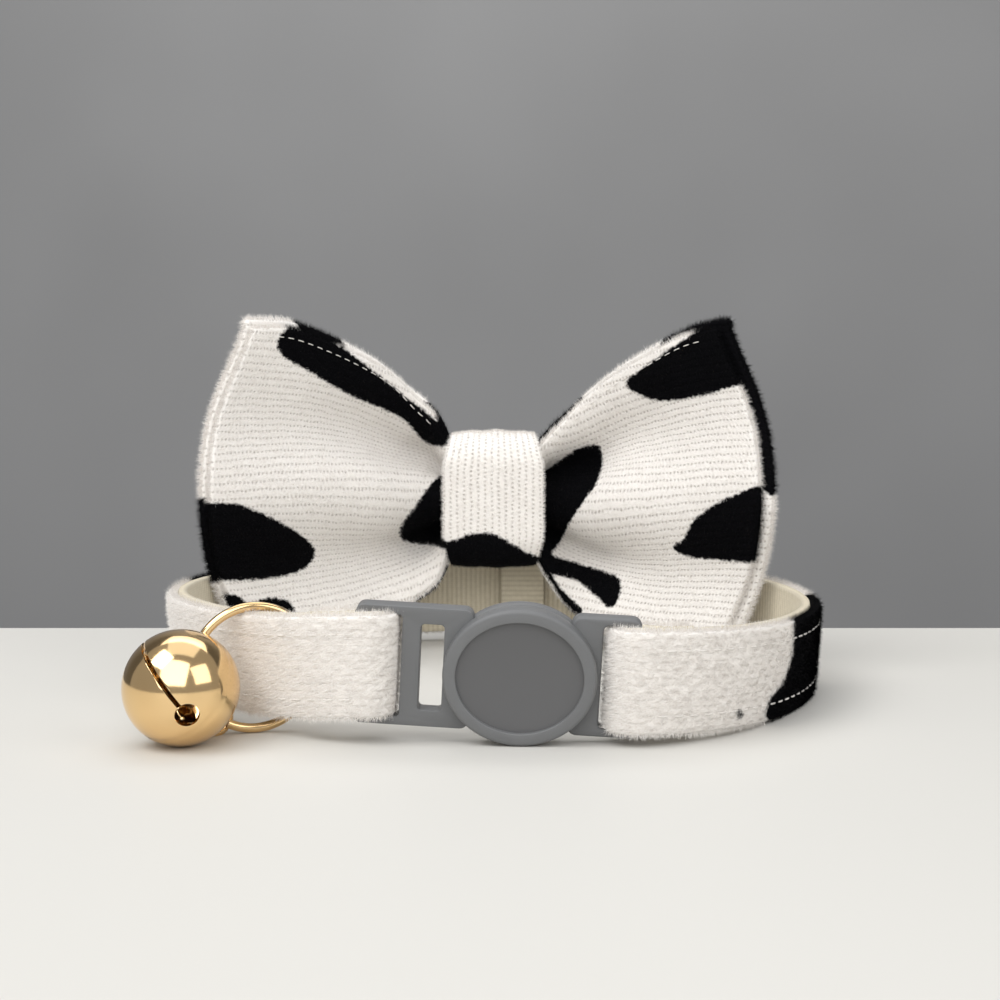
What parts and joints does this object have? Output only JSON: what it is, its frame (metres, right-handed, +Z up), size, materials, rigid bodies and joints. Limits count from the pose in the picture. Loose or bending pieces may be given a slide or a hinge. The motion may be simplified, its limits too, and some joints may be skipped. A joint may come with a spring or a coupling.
{
  "type": "pet bow tie collar",
  "caption": "Pet collar strap closed in a loop by a side-release buckle, with a pleated bow tie at the rear and a small bell on a ring by the buckle.",
  "frame": {"origin": "middle of the bottom of the bounding box, on the surface that the collar stands on", "axes": "+X along the buckle, +Y from the buckle toward the bow at the rear, +Z up"},
  "size_m": [0.078, 0.0808, 0.045],
  "materials": {
    "plush": "short pile plush in white with a black cow print",
    "lining": "ribbed woven band, matte",
    "plastic": "moulded, satin matte",
    "gold": "polished and gold plated"
  },
  "bodies": {
    "root": {"strap_cover": "plush", "strap_lining": "lining", "buckle_housing": "plastic", "buckle_latch": "plastic", "bell_ring": "gold", "bell": "gold", "bell_pellet": "gold", "bow_front_panel": "plush", "bow_back_panel": "plush", "bow_knot": "plush", "bow_keeper": "lining"}
  },
  "joints": []
}
